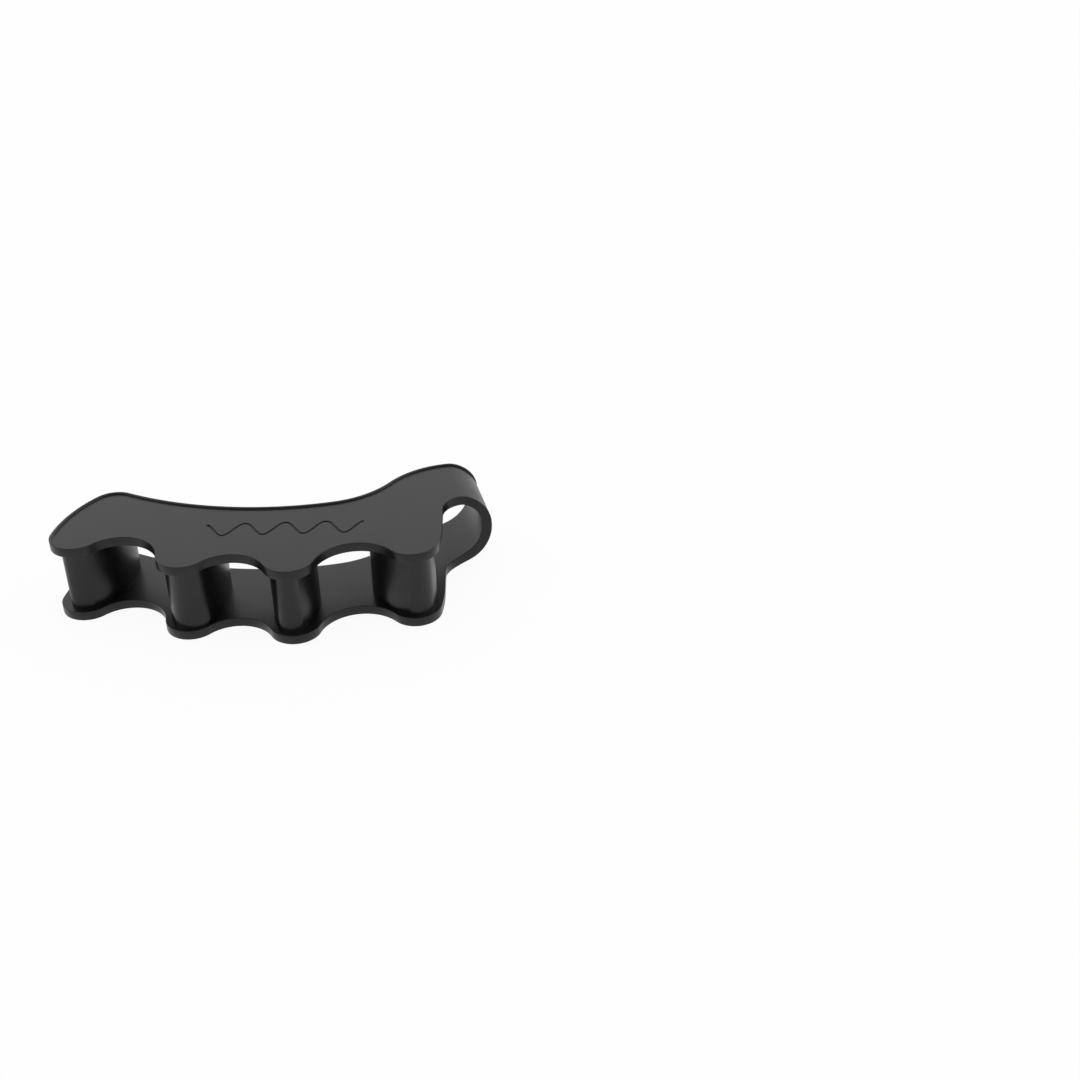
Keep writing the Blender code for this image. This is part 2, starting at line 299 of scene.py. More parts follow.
def bar_along(name: str, points: list[Vector], radius: float, resolution: int = 4,
              weld: float = 0.002 * MM) -> bpy.types.Object:
    """Makes a round bar with flat ends along a line of points.

    Args:
        name: The bar's name.
        points: Its centre line.
        radius: Its radius.
        resolution: How finely the curve's bevel is divided.
        weld: The distance within which its corners become one.

    Returns:
        The bar as a mesh object.
    """
    curve = bpy.data.curves.new(name, "CURVE")
    curve.dimensions = "3D"
    curve.bevel_depth = radius
    curve.bevel_resolution = resolution
    curve.use_fill_caps = True
    spline = curve.splines.new("POLY")
    spline.points.add(len(points) - 1)
    for target, point in zip(spline.points, points):
        target.co = (*point, 1.0)
    guide = bpy.data.objects.new(name, curve)
    bpy.context.scene.collection.objects.link(guide)
    bm = bmesh.new()
    bm.from_mesh(evaluated(guide))
    bmesh.ops.remove_doubles(bm, verts=bm.verts, dist=weld)
    bpy.data.objects.remove(guide)
    return object_from(bm, name)


@dataclass(frozen=True)
class PlateOutline:
    """The one wavy outline that both plates share."""

    lobe_radius: float = 6.0 * MM
    lobe_x: tuple[float, ...] = (-44.2 * MM, -18.4 * MM, 5.6 * MM, 32.7 * MM)
    lobe_front: tuple[float, ...] = (-13.7 * MM, -22.0 * MM, -24.4 * MM, -18.1 * MM)
    scallop_radius: tuple[float, ...] = (8.9 * MM, 8.75 * MM, 9.8 * MM)
    shoulder_x: float = 39.1 * MM
    shoulder_radius: float = 40.0 * MM
    side_x: float = 38.9 * MM
    corner_radius: float = 5.5 * MM
    loop_front: float = 7.3 * MM
    loop_back: float = 23.5 * MM
    past_the_loop: float = 56.1 * MM
    nip_radius: float = 0.3 * MM
    crest_x: float = 42.6 * MM
    crest_radius: float = 21.0 * MM
    hollow_low: float = 5.1 * MM
    hollow_radius: float = 20.4 * MM
    back_radius: float = 72.5 * MM
    hump_x: float = -38.6 * MM
    hump_back: float = 11.7 * MM
    hump_radius: float = 6.4 * MM
    end_radius: float = 30.4 * MM

    def lobes(self) -> list[Round]:
        """The four lobes of the front edge."""
        low = self.lobe_radius
        return [Round(x, front + low, low) for x, front in zip(self.lobe_x, self.lobe_front)]

    def front(self) -> list[Round]:
        """Lobes and scallops by turns, from the little toe to the big toe.

        Returns:
            Each scallop touches the lobe on either side of it.
        """
        lobes = self.lobes()
        rounds = [lobes[0]]
        for left, right, radius in zip(lobes, lobes[1:], self.scallop_radius):
            middle = held_between(left.centre, left.radius + radius,
                                  right.centre, right.radius + radius, -1)
            rounds += [Round(middle.x, middle.y, radius, Bulge.HOLLOW), right]
        return rounds

    def side(self) -> list[Round]:
        """The last lobe's shoulder, the loop's inner corner, and two corners out past the loop.

        Returns:
            Four circles. The shoulder touches the last lobe.
        """
        corner, nip = self.corner_radius, self.nip_radius
        lobe = self.lobes()[-1]
        shoulder = self.shoulder_x - self.shoulder_radius
        rise = math.sqrt((self.shoulder_radius - lobe.radius) ** 2 - (lobe.x - shoulder) ** 2)
        return [
            Round(shoulder, lobe.y + rise, self.shoulder_radius),
            Round(self.side_x + corner, self.loop_front - corner, corner, Bulge.HOLLOW),
            Round(self.past_the_loop, self.loop_front + nip, nip),
            Round(self.past_the_loop, self.loop_back - nip, nip),
        ]

    def back(self) -> list[Round]:
        """Crest, hollow, long back edge, hump and little-toe end.

        Returns:
            Five circles, each of which touches the next.
        """
        crest = Round(self.crest_x, self.loop_back - self.crest_radius, self.crest_radius)
        low = self.hollow_low + self.hollow_radius
        reach = crest.radius + self.hollow_radius
        hollow_x = crest.x - math.sqrt(reach ** 2 - (low - crest.y) ** 2)
        hollow = Round(hollow_x, low, self.hollow_radius, Bulge.HOLLOW)
        hump = Round(self.hump_x, self.hump_back - self.hump_radius, self.hump_radius)
        first = self.lobes()[0]
        long = held_between(hollow.centre, self.back_radius - hollow.radius,
                            hump.centre, self.back_radius + hump.radius, -1)
        end = held_between(hump.centre, self.end_radius - hump.radius,
                           first.centre, self.end_radius - first.radius, 1)
        return [
            crest,
            hollow,
            Round(long.x, long.y, self.back_radius, Bulge.HOLLOW),
            hump,
            Round(end.x, end.y, self.end_radius),
        ]

    def belt(self) -> Belt:
        """The whole outline."""
        return Belt(tuple(self.front() + self.side() + self.back()))


@dataclass(frozen=True)
class LoopSection:
    """The band's section in X and Z: flat above, round the big toe, flat below."""

    height: float = 19.5 * MM
    wall: float = 2.3 * MM
    reach: float = 50.1 * MM
    upper_radius: float = 7.5 * MM
    lower_radius: float = 11.7 * MM
    slant: float = math.radians(14.0)
    step: float = math.radians(3.0)

    @property
    def upper(self) -> Vector:
        """Middle of the upper arc, at the loop's front."""
        return Vector((self.reach - self.upper_radius, self.height - self.upper_radius))

    @property
    def lower(self) -> Vector:
        """Middle of the lower arc, which the upper one runs into without a kink."""
        between = self.lower_radius - self.upper_radius
        rise = self.lower_radius - self.upper.y
        return Vector((self.upper.x - math.sqrt(between ** 2 - rise ** 2), self.lower_radius))

    @property
    def join_angle(self) -> float:
        """Angle above the level at which the two arcs meet."""
        gap = self.upper - self.lower
        return math.atan2(gap.y, gap.x)


@dataclass
class PlatesAndLoop:
    """Both plates and the loop, as one bent band cut to the outline."""

    outline: PlateOutline
    section: LoopSection
    outer_round: float = 0.3 * MM
    inner_round: float = 0.12 * MM
    rim_segments: int = 4
    sharp: float = math.radians(50.0)
    weld: float = 0.075 * MM
    margin: float = 6.0 * MM
    end_margin: float = 18.0 * MM

    def band(self) -> bpy.types.Object:
        """Sweeps the wall's upright section along the plates and round the loop.

        Returns:
            The slanted band, longer than the plates at their open end.
        """
        section = self.section
        front = min(self.outline.lobe_front) - self.margin
        back = self.outline.loop_back + self.margin
        start = self.outline.lobe_x[0] - self.outline.lobe_radius - self.end_margin
        bm = bmesh.new()
        corners = [Vector((start, y, z)) for y, z in (
            (front, section.height), (back, section.height),
            (back, section.height - section.wall), (front, section.height - section.wall))]
        verts = [bmesh.ops.create_vert(bm, co=c)["vert"][0] for c in corners]
        ring = [bm.edges.new((verts[k - 1], verts[k])) for k in range(4)]
        bmesh.ops.contextual_create(bm, geom=ring)
        ring = self.pushed(bm, ring, Vector((section.upper.x - start, 0.0, 0.0)))
        ring = self.turned(bm, ring, section.upper, math.pi / 2 - section.join_angle)
        ring = self.turned(bm, ring, section.lower, math.pi / 2 + section.join_angle)
        ring = self.pushed(bm, ring, Vector((start - section.lower.x, 0.0, 0.0)))
        bmesh.ops.contextual_create(bm, geom=ring)
        shear = Matrix.Identity(4)
        shear[0][1] = -math.tan(section.slant)
        shear[0][3] = math.tan(section.slant) * self.outline.loop_front
        bmesh.ops.transform(bm, matrix=shear, verts=bm.verts)
        return object_from(bm, "plates_and_loop")

    @staticmethod
    def pushed(bm: bmesh.types.BMesh, ring: list[bmesh.types.BMEdge],
               by: Vector) -> list[bmesh.types.BMEdge]:
        """Extrudes a ring of edges straight.

        Args:
            bm: The mesh.
            ring: The edges.
            by: The way that they go.

        Returns:
            The ring at the far end.
        """
        grown = bmesh.ops.extrude_edge_only(bm, edges=ring)["geom"]
        bmesh.ops.translate(bm, verts=of_kind(grown, bmesh.types.BMVert), vec=by)
        return [edge for edge in of_kind(grown, bmesh.types.BMEdge) if len(edge.link_faces) == 1]

    def turned(self, bm: bmesh.types.BMesh, ring: list[bmesh.types.BMEdge], middle: Vector,
               angle: float) -> list[bmesh.types.BMEdge]:
        """Spins a ring of edges down round one of the loop's arcs.

        Args:
            bm: The mesh.
            ring: The edges.
            middle: The arc's middle in X and Z.
            angle: How far it turns.

        Returns:
            The ring at the far end.
        """
        swept = bmesh.ops.spin(
            bm, geom=ring, cent=(middle.x, 0.0, middle.y), axis=(0.0, 1.0, 0.0), dvec=(0.0, 0.0, 0.0),
            angle=angle, steps=math.ceil(angle / self.section.step), use_duplicate=False)
        return of_kind(swept["geom_last"], bmesh.types.BMEdge)

    def prism(self) -> bpy.types.Object:
        """The outline as an upright block, taller than the object."""
        bm = bmesh.new()
        floor = self.outline.belt().face(bm, -self.margin)
        raised = bmesh.ops.extrude_face_region(bm, geom=[floor], use_keep_orig=True)["geom"]
        bmesh.ops.translate(bm, verts=of_kind(raised, bmesh.types.BMVert),
                            vec=(0.0, 0.0, self.section.height + 2 * self.margin))
        return object_from(bm, "outline")

    def looks_out(self, rim: bmesh.types.BMEdge) -> bool:
        """Whether a rim belongs to the outer face of the band, not to the one between the plates.

        Args:
            rim: The edge.

        Returns:
            True on top of the upper plate, under the lower plate and round the loop's outside.
        """
        place = (rim.verts[0].co + rim.verts[1].co) / 2
        lean = (place.y - self.outline.loop_front) * math.tan(self.section.slant)
        middle = self.section.lower.x - lean
        inside = Vector((min(place.x, middle), place.y, self.section.height / 2))
        return sum(face.normal.dot(place - inside) for face in rim.link_faces) > 0

    def build(self) -> bpy.types.Object:
        """Cuts the band to the outline and rounds the rims.

        Returns:
            The plates and the loop as one closed mesh.
        """
        body = self.band()
        join(body, self.prism(), Joining.KEEP_COMMON)
        bm = bmesh.new()
        bm.from_mesh(body.data)
        bmesh.ops.remove_doubles(bm, verts=bm.verts, dist=self.weld)
        for outer, offset in ((True, self.outer_round), (False, self.inner_round)):
            rims = [e for e in bm.edges if e.is_manifold and e.calc_face_angle() > self.sharp]
            bmesh.ops.bevel(bm, geom=[e for e in rims if self.looks_out(e) == outer], offset=offset,
                            offset_type="OFFSET", affect="EDGES", segments=self.rim_segments,
                            profile=0.5, material=-1, clamp_overlap=True)
        bm.to_mesh(body.data)
        bm.free()
        return body


@dataclass
class ToePost:
    """One post between the plates, with a small round fillet at each end."""

    foot: Belt
    section: LoopSection
    fillet: float = 0.06 * MM
    fillet_steps: int = 3
    sink: float = 0.01 * MM
    weld: float = 0.005 * MM

    def build(self) -> bpy.types.Object:
        """Raises half a post from its flared foot, then mirrors it.

        Returns:
            The post, sunk halfway into both plates.
        """
        wall, middle = self.section.wall, self.section.height / 2
        bm = bmesh.new()
        face = self.foot.grown(self.fillet).face(bm, wall / 2 - middle)
        face = self.raised(bm, face, wall / 2 - self.sink)
        quarter = math.pi / 2 / self.fillet_steps
        for k in range(self.fillet_steps):
            inward = self.fillet * (math.sin((k + 1) * quarter) - math.sin(k * quarter))
            upward = self.fillet * (math.cos(k * quarter) - math.cos((k + 1) * quarter))
            bmesh.ops.inset_region(bm, faces=[face], thickness=inward, depth=upward,
                                   use_even_offset=True)
        top = self.raised(bm, face, middle - wall + self.sink - self.fillet)
        bmesh.ops.delete(bm, geom=[face, top], context="FACES_ONLY")
        bmesh.ops.mirror(bm, geom=bm.verts[:] + bm.edges[:] + bm.faces[:], matrix=Matrix.Identity(4),
                         merge_dist=self.weld, axis="Z")
        bmesh.ops.translate(bm, verts=bm.verts, vec=(0.0, 0.0, middle))
        return object_from(bm, "post")

    @staticmethod
    def raised(bm: bmesh.types.BMesh, face: bmesh.types.BMFace, height: float) -> bmesh.types.BMFace:
        """Extrudes a level face upwards, and leaves it where it is as well.

        Args:
            bm: The mesh.
            face: The face that is copied upwards.
            height: How far.

        Returns:
            The new face at the top.
        """
        lifted = bmesh.ops.extrude_face_region(bm, geom=[face], use_keep_orig=True)
        top = of_kind(lifted["geom"], bmesh.types.BMFace)[0]
        bmesh.ops.translate(bm, verts=top.verts, vec=(0.0, 0.0, height))
        return top


@dataclass(frozen=True)
class PostRow:
    """The four posts' feet, from the little toe to the big toe."""

    outline: PlateOutline
    nose_x: tuple[float, ...] = (-44.4 * MM, -17.8 * MM, 5.1 * MM, 33.0 * MM)
    nose_radius: tuple[float, ...] = (5.0 * MM, 4.7 * MM, 3.2 * MM, 4.0 * MM)
    nose_setback: tuple[float, ...] = (1.9 * MM, 1.4 * MM, 1.9 * MM, 1.6 * MM)
    left: tuple[float, ...] = (-43.8 * MM, -19.2 * MM, 1.6 * MM, 22.2 * MM)
    right: tuple[float, ...] = (-34.9 * MM, -11.4 * MM, 9.4 * MM, 37.0 * MM)
    back: tuple[float, ...] = (9.0 * MM, 0.2 * MM, -3.6 * MM, -2.2 * MM)
    back_radius: tuple[float, ...] = (3.8 * MM, 3.8 * MM, 3.2 * MM, 4.4 * MM)
    left_flank: tuple[float, ...] = (60.0 * MM, 13.0 * MM, 16.0 * MM, 17.0 * MM)
    right_flank: tuple[float, ...] = (16.0 * MM, 24.0 * MM, 16.0 * MM, 16.0 * MM)
    end_corner: Round = Round(-0.9 * MM, -2.65 * MM, 2.2 * MM)
    step: float = math.radians(3.5)
    longest: float = 1.0 * MM

    @staticmethod
    def flank(first: Round, second: Round, radius: float) -> Round:
        """A full flank that touches two rounded ends from outside.

        Args:
            first: The end where the flank starts, in running order.
            second: The end where it stops.
            radius: The flank's own radius.

        Returns:
            The flank's circle.
        """
        middle = held_between(first.centre, radius - first.radius,
                              second.centre, radius - second.radius, 1)
        return Round(middle.x, middle.y, radius)

    def foot(self, k: int) -> Belt:
        """The egg-shaped outline of one post's foot.

        Args:
            k: The post's place in the row, from 0.

        Returns:
            A nose behind the lobe, a full flank on either side and a rounded
            back. The first post also has a corner at the outer side of its nose.
        """
        radius, back = self.nose_radius[k], self.back_radius[k]
        y = self.back[k] - back
        nose = Round(self.nose_x[k], self.outline.lobe_front[k] + self.nose_setback[k] + radius, radius)
        right = Round(self.right[k] - back, y, back)
        left = Round(self.left[k] + back, y, back)
        rounds = [nose, self.flank(nose, right, self.right_flank[k]), right, left]
        if k == 0:
            end = self.end_corner
            corner = Round(nose.x + end.x, nose.y + end.y, end.radius)
            rounds += [self.flank(left, corner, self.left_flank[k]), corner]
        else:
            rounds.append(self.flank(left, nose, self.left_flank[k]))
        return Belt(tuple(rounds), step=self.step, longest=self.longest)


@dataclass
class BackBead:
    """The raised bead along the back edge, from the loop's outer side to the little toe."""

    outline: PlateOutline
    section: LoopSection
    radius: float = 0.5 * MM
    proud: float = 0.45 * MM
    edge: float = 0.3 * MM
    fade: float = 5.0 * MM
    end_sink: float = 0.3
    end_turn: float = math.radians(35.0)
    end_steps: int = 8
    climb_steps: int = 30
    climb_passes: int = 6
    clear: float = 0.3 * MM

    def over_the_loop(self, crest: Round) -> list[tuple[Vector, Vector]]:
        """The part that climbs the loop's outer side.

        Args:
            crest: The crest's circle for the bead's own line.

        Returns:
            Points on the surface, each with the surface's outward normal.
        """
        section, outline = self.section, self.outline
        found = []
        sweep = math.pi / 2 - section.join_angle
        for k in range(self.climb_steps + 1):
            angle = section.join_angle + sweep * k / self.climb_steps
            y = crest.y + crest.radius
            for _ in range(self.climb_passes):
                x = section.upper.x + section.upper_radius * math.cos(angle)
                x -= (y - outline.loop_front) * math.tan(section.slant)
                if x < crest.x:
                    y = crest.y + math.sqrt(crest.radius ** 2 - (crest.x - x) ** 2)
            z = section.upper.y + section.upper_radius * math.sin(angle)
            found.append((Vector((x, y, z)), Vector((math.cos(angle), 0.0, math.sin(angle)))))
        return found

    def path(self) -> list[tuple[Vector, Vector]]:
        """The bead's line on the surface.

        Returns:
            Points in order, each with the surface's outward normal.
        """
        belt = self.outline.belt().grown(-self.edge - self.radius)
        count = len(belt.rounds)
        crest = count - len(self.outline.back())
        found = self.over_the_loop(belt.rounds[crest])
        up = Vector((0.0, 0.0, 1.0))
        flat = [p for p in belt.points(range(crest, count)) if p.x < found[-1][0].x - self.clear]
        first = belt.rounds[0]
        begin = math.atan2(flat[-1].y - first.y, flat[-1].x - first.x) % math.tau
        for k in range(1, self.end_steps + 1):
            angle = begin + (math.pi + self.end_turn - begin) * k / self.end_steps
            flat.append(first.centre + first.radius * Vector((math.cos(angle), math.sin(angle))))
        return found + [(Vector((p.x, p.y, self.section.height)), up) for p in flat]

    def build(self) -> bpy.types.Object:
        """Lays a round bar along the line, sunk to half its height and deeper at both ends.

        Returns:
            The bead.
        """
        path = self.path()
        travelled = [0.0]
        for before, after in zip(path, path[1:]):
            travelled.append(travelled[-1] + (after[0] - before[0]).length)
        points = []
        for (point, normal), gone in zip(path, travelled):
            share = min(1.0, gone / self.fade, (travelled[-1] - gone) / self.fade)
            depth = self.radius - self.proud * share * (2 - share)
            depth += (1 - share) * self.radius * self.end_sink
            points.append(point - normal * depth)
        return bar_along("bead", points, self.radius)


@dataclass
class WaveGroove:
    """The shallow wave in the top face."""

    start: float = -14.9 * MM
    middle: float = -6.4 * MM
    period: float = 9.25 * MM
    height: float = 5.0 * MM
    troughs: int = 4
    rise: float = 0.025
    run_in: float = 0.44
    steps: int = 30
    radius: float = 0.33 * MM
    depth: float = 0.38 * MM

    def build(self, top: float) -> bpy.types.Object:
        """Makes the wave's cutter.

        Args:
            top: The height of the face that it cuts.

        Returns:
            A round bar that lies just in the face.
        """
        lead = self.period * self.run_in
        length = lead * 2 + self.period * (self.troughs - 1)
        count = self.troughs * self.steps
        points = []
        for k in range(count + 1):
            along = length * k / count
            y = self.middle - self.height / 2 * math.cos(math.tau * (along - lead) / self.period)
            y += self.rise * along
            points.append(Vector((self.start + along, y, top + self.radius - self.depth)))
        return bar_along("wave", points, self.radius)


class Signal:
    """A shader socket or a number that adds Math nodes when it is calculated with."""

    def __init__(self, bench: "Bench", value: Union[bpy.types.NodeSocket, float]) -> None:
        """Keeps the bench that makes the nodes, and the value."""
        self.bench = bench
        self.value = value

    def _math(self, operation: str, *others: Union["Signal", float]) -> "Signal":
        """Adds one Math node to this value.

        Args:
            operation: The node's operation.
            others: Its other inputs.

        Returns:
            The node's result.
        """
        values = {k + 1: o for k, o in enumerate(others)}
        return self.bench.add("ShaderNodeMath", {"operation": operation}, {0: self, **values})

    def __add__(self, other: Union["Signal", float]) -> "Signal":
        """This plus the other."""
        return self._math("ADD", other)

    __radd__ = __add__

    def __mul__(self, other: Union["Signal", float]) -> "Signal":
        """This times the other."""
        return self._math("MULTIPLY", other)

    def __sub__(self, other: Union["Signal", float]) -> "Signal":
        """This less the other."""
        return self._math("SUBTRACT", other)

    def __rsub__(self, other: float) -> "Signal":
        """The other less this."""
        return self.bench.add("ShaderNodeMath", {"operation": "SUBTRACT"}, {0: other, 1: self})

    def clamped(self) -> "Signal":
        """This, kept between 0 and 1."""
        return self._math("MINIMUM", 1.0)._math("MAXIMUM", 0.0)


class Bench:
    """Adds nodes to one material or to the world."""

    def __init__(self, owner: Union[bpy.types.Material, bpy.types.World]) -> None:
        """Empties the owner's node tree.

        Args:
            owner: The new material or world that the nodes are for.
        """
        owner.use_nodes = True
        self.tree = owner.node_tree
        self.tree.nodes.clear()

    def add(self, kind: str, settings: Optional[dict[str, Any]] = None,
            sockets: Optional[dict[Union[int, str], Any]] = None, output: Union[int, str] = 0) -> Signal:
        """Adds one node.

        Args:
            kind: The node's type.
            settings: Its settings, such as a Math node's operation, set first.
            sockets: Values or signals for its inputs, by name or number.
            output: The output that is handed back.

        Returns:
            A signal on that output.
        """
        node = self.tree.nodes.new(kind)
        for name, value in (settings or {}).items():
            setattr(node, name, value)
        for name, value in (sockets or {}).items():
            raw = value.value if isinstance(value, Signal) else value
            if isinstance(raw, bpy.types.NodeSocket):
                self.tree.links.new(raw, node.inputs[name])
            else:
                node.inputs[name].default_value = raw
        return Signal(self, node.outputs[output] if node.outputs else 0.0)


@dataclass(frozen=True)
class Noise:
    """One layer of noise in a finish."""

    size: float
    detail: float
    roughness: float = 0.5

    def over(self, bench: Bench, place: Signal) -> Signal:
        """Lays the noise over a surface.

        Args:
            bench: The bench of the finish.
            place: The place on the surface.

        Returns:
            The noise, from 0 to 1.
        """
        return bench.add("ShaderNodeTexNoise", {}, {
            "Vector": place, "Scale": 1.0 / self.size,
            "Detail": self.detail, "Roughness": self.roughness}, "Fac")


@dataclass(frozen=True)
class SatinSilicone:
    """Black silicone rubber as it leaves a finely blasted mould."""

    deep: tuple[float, float, float, float] = (0.0058, 0.0058, 0.0061, 1.0)
    bloom: tuple[float, float, float, float] = (0.0100, 0.0100, 0.0103, 1.0)
    roughness: float = 0.34
    index: float = 1.40
    clouds: Noise = Noise(14.0 * MM, 3.0, 0.55)
    streaks: Noise = Noise(14.0 * MM / 5.5, 4.0, 0.6)
    streak_stretch: tuple[float, float, float] = (0.35, 1.0, 1.6)
    grain: Noise = Noise(0.22 * MM, 2.0)
    cloud_share: float = 0.7
    streak_share: float = 0.3
    haze_from: float = 0.38
    haze_gain: float = 3.2
    haze_in_colour: float = 0.6
    grain_in_colour: float = 0.25
    haze_in_roughness: float = 0.07
    grain_in_roughness: float = 0.05
    streaks_in_relief: float = 0.4
    relief: float = 0.35
    relief_depth: float = 0.0035 * MM

    def material(self) -> bpy.types.Material:
        """Builds the material.

        Returns:
            A dark, slightly cloudy satin with a fine moulded grain.
        """
        material = bpy.data.materials.new("satin_black_silicone")
        bench = Bench(material)
        place = bench.add("ShaderNodeTexCoord", output="Object")
        stretched = bench.add("ShaderNodeMapping", {}, {"Vector": place, "Scale": self.streak_stretch})
        clouds = self.clouds.over(bench, place)
        streaks = self.streaks.over(bench, stretched)
        grain = self.grain.over(bench, place)
        mixed = clouds * self.cloud_share + streaks * self.streak_share
        haze = ((mixed - self.haze_from) * self.haze_gain).clamped()
        colour = bench.add("ShaderNodeMix", {"data_type": "RGBA"}, {
            0: haze * self.haze_in_colour + grain * self.grain_in_colour,
            6: self.deep, 7: self.bloom}, 2)
        rough = self.roughness + (haze - 0.5) * self.haze_in_roughness
        rough = rough + (grain - 0.5) * self.grain_in_roughness
        relief = bench.add("ShaderNodeBump", {}, {
            "Height": grain + streaks * self.streaks_in_relief,
            "Strength": self.relief, "Distance": self.relief_depth})
        shader = bench.add("ShaderNodeBsdfPrincipled", {}, {
            "Base Color": colour, "Roughness": rough, "Normal": relief, "IOR": self.index})
        bench.add("ShaderNodeOutputMaterial", {}, {"Surface": shader})
        return material


@dataclass
class Moulding:
    """The whole toe separator, as the one piece that it is."""

    outline: PlateOutline
    section: LoopSection
    finish: SatinSilicone

    def build(self) -> bpy.types.Object:
        """Joins plates, loop, posts, bead and wave into one skin.

        Returns:
            The finished piece, which rides on the frame.
        """
        body = PlatesAndLoop(self.outline, self.section).build()
        LOG.info("plates and loop: %d faces", len(body.data.polygons))
        row = PostRow(self.outline)
        for k in range(len(self.outline.lobe_x)):
            join(body, ToePost(row.foot(k), self.section).build(), Joining.ADD)
            LOG.info("post %d: %d faces so far", k + 1, len(body.data.polygons))
        join(body, BackBead(self.outline, self.section).build(), Joining.ADD)
        join(body, WaveGroove().build(self.section.height), Joining.CUT)
        LOG.info("bead and wave: %d faces so far", len(body.data.polygons))
        self.settle(body)
        self.shade(body.data)
        self.dress(body)
        return body

    @staticmethod
    def settle(body: bpy.types.Object) -> None:
        """Sets the skin into the solid's own box.

        Its arcs have more steps than the solid's, so they reach a few hundredths
        of a millimetre further. The skin is drawn in by that much.

        Args:
            body: The finished skin.
        """
        corners = [Vector(c) for c in body.bound_box]
        low = Vector([min(c[k] for c in corners) for k in range(3)])
        high = Vector([max(c[k] for c in corners) for k in range(3)])
        room = CAD_BOX[1] - CAD_BOX[0]
        fit = [min(1.0, room[k] / (high[k] - low[k])) for k in range(3)]
        place = Matrix.Translation((CAD_BOX[0] + CAD_BOX[1]) / 2) @ Matrix.Diagonal((*fit, 1.0))
        bm = bmesh.new()
        bm.from_mesh(body.data)
        bmesh.ops.transform(bm, matrix=place @ Matrix.Translation(-(low + high) / 2), verts=bm.verts)
        bm.to_mesh(body.data)
        bm.free()

    @staticmethod
    def shade(mesh: bpy.types.Mesh, sharp: float = math.radians(40.0),
              broad: float = 4.0 * MM * MM, within: float = math.radians(35.0)) -> None:
        """Shades the skin smooth, and keeps plates and post walls true right up to their rounds.

        Args:
            mesh: The finished skin.
            sharp: The angle from which an edge stays sharp.
            broad: The area from which a face sets the shading at its corners.
            within: How far a corner's own shading may be from that of such a face.
        """
        mesh.shade_smooth()
        mesh.set_sharp_from_angle(angle=sharp)
        leaders: dict[int, list[Vector]] = {}
        for face in mesh.polygons:
            if face.area > broad:
                for vertex in face.vertices:
                    leaders.setdefault(vertex, []).append(face.normal.copy())
        shading = [corner.vector.copy() for corner in mesh.corner_normals]
        for k, corner in enumerate(mesh.loops):
            near = [n for n in leaders.get(corner.vertex_index, [])
                    if n.angle(shading[k], math.pi) < within]
            if near:
                shading[k] = sum(near, Vector()).normalized()
        mesh.normals_split_custom_set(shading)

    def dress(self, body: bpy.types.Object) -> None:
        """Gives the skin its silicone, and sets it in the place of the solid."""
        body.name = "silicone_moulding"
        body.data.materials.clear()
        body.data.materials.append(self.finish.material())
        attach(body, "root")
        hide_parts(NODE)


class Seen(Enum):
    """The kinds of ray that look straight at the table's white."""

    BY_CAMERA = "Is Camera Ray"
    IN_GLOSS = "Is Glossy Ray"
    THROUGH_GLASS = "Is Transmission Ray"


@dataclass(frozen=True)
class Room:
    """Soft light from the room: pale all round, and dimmer behind the camera."""

    pale: float = 1.52
    dim: float = 0.22
    turn_from: float = 0.15
    turn_over: float = 0.45

    def build(self) -> bpy.types.World:
        """Builds the world from the direction that a ray leaves in.

        Returns:
            The world.
        """
        world = bpy.data.worlds.new("pale_room")
        bench = Bench(world)
        way = bench.add("ShaderNodeTexCoord", output="Generated")
        depth = bench.add("ShaderNodeSeparateXYZ", {}, {0: way}, "Y")
        share = ((-self.turn_from - depth) * (1.0 / self.turn_over)).clamped()
        level = self.pale + share * (self.dim - self.pale)
        light = bench.add("ShaderNodeBackground", {}, {"Strength": level})
        bench.add("ShaderNodeOutputWorld", {}, {"Surface": light})
        return world


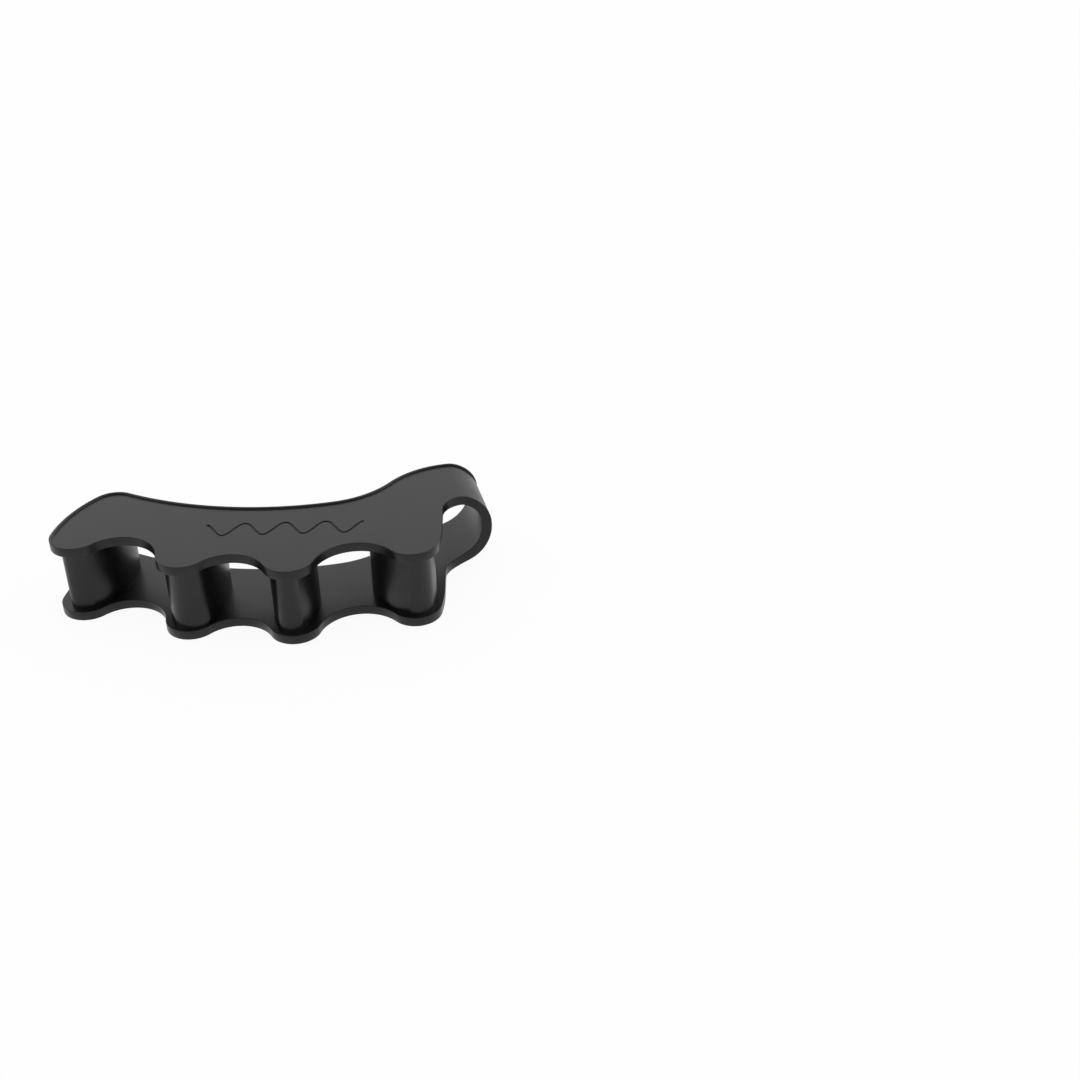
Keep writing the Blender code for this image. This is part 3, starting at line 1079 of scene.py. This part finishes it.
@dataclass(frozen=True)
class Table:
    """A plain pale table with a low upright rim, far out, that hides the room's dim side."""

    size: float = 6.0
    rim: float = 0.6
    grey: float = 0.90
    spread: float = 0.03
    clouds: Noise = Noise(1.0 / 9.0, 2.0)
    roughness: float = 0.9
    white: float = 0.94

    def material(self) -> bpy.types.Material:
        """Builds the table's finish.

        What looks straight at it sees mostly plain white, so that the picture's
        ground is white without more light. The rest is the real table, which
        keeps the object's shadow.

        Returns:
            The material.
        """
        material = bpy.data.materials.new("pale_table")
        bench = Bench(material)
        cloud = self.clouds.over(bench, bench.add("ShaderNodeTexCoord", output="Object"))
        top = self.grey + self.spread
        colour = bench.add("ShaderNodeMix", {"data_type": "RGBA"}, {
            0: cloud, 6: (self.grey, self.grey, self.grey, 1.0), 7: (top, top, top, 1.0)}, 2)
        table = bench.add("ShaderNodeBsdfPrincipled", {}, {
            "Base Color": colour, "Roughness": self.roughness})
        ground = bench.add("ShaderNodeEmission", {}, {"Color": (1.0, 1.0, 1.0, 1.0), "Strength": 1.0})
        rays = [bench.add("ShaderNodeLightPath", output=kind.value) for kind in Seen]
        seen = (rays[0] + rays[1] + rays[2]).clamped() * self.white
        mixed = bench.add("ShaderNodeMixShader", {}, {0: seen, 1: table, 2: ground})
        bench.add("ShaderNodeOutputMaterial", {}, {"Surface": mixed})
        return material

    def build(self) -> bpy.types.Object:
        """Lays the table under the object.

        Returns:
            The table.
        """
        bm = bmesh.new()
        bmesh.ops.create_grid(bm, x_segments=1, y_segments=1, size=self.size / 2)
        raised = bmesh.ops.extrude_edge_only(bm, edges=bm.edges)["geom"]
        bmesh.ops.translate(bm, verts=of_kind(raised, bmesh.types.BMVert), vec=(0.0, 0.0, self.rim))
        top = object_from(bm, "table")
        if top.data.polygons[0].normal.z < 0:
            top.data.flip_normals()
        top.data.materials.append(self.material())
        return top


@dataclass(frozen=True)
class Viewpoint:
    """The place that the photograph was taken from."""

    at: tuple[float, float, float] = (0.06153, -0.29839, 0.19779)
    pitch: float = math.radians(31.932)
    roll: float = math.radians(-0.862)
    lens: float = 50.0
    sensor: float = 36.0
    near: float = 0.01

    def build(self) -> bpy.types.Object:
        """Sets up the camera.

        Returns:
            The camera.
        """
        data = bpy.data.cameras.new("camera")
        data.lens = self.lens
        data.sensor_width = self.sensor
        data.clip_start = self.near
        eye = bpy.data.objects.new("camera", data)
        tilt = Matrix.Rotation(math.pi / 2 - self.pitch, 4, "X") @ Matrix.Rotation(self.roll, 4, "Z")
        eye.matrix_world = Matrix.Translation(self.at) @ tilt
        bpy.context.scene.collection.objects.link(eye)
        return eye


@dataclass(frozen=True)
class Studio:
    """The table, the room's light and the camera."""

    table: Table
    room: Room
    viewpoint: Viewpoint

    def build(self) -> None:
        """Sets all three up."""
        scene = bpy.context.scene
        self.table.build()
        scene.world = self.room.build()
        scene.camera = self.viewpoint.build()
        scene.view_settings.view_transform = "Standard"


def write_sizes() -> None:
    """Updates the view layer."""
    bpy.context.view_layer.update()


def main() -> None:
    """Builds the moulding and the studio."""
    logging.basicConfig(level=logging.INFO, format="%(name)s: %(message)s")
    piece = Moulding(PlateOutline(), LoopSection(), SatinSilicone()).build()
    LOG.info("%s: %d faces", piece.name, len(piece.data.polygons))
    Studio(Table(), Room(), Viewpoint()).build()
    LOG.info("studio: table, room and camera")
    write_sizes()


if __name__ == "__main__":
    main()
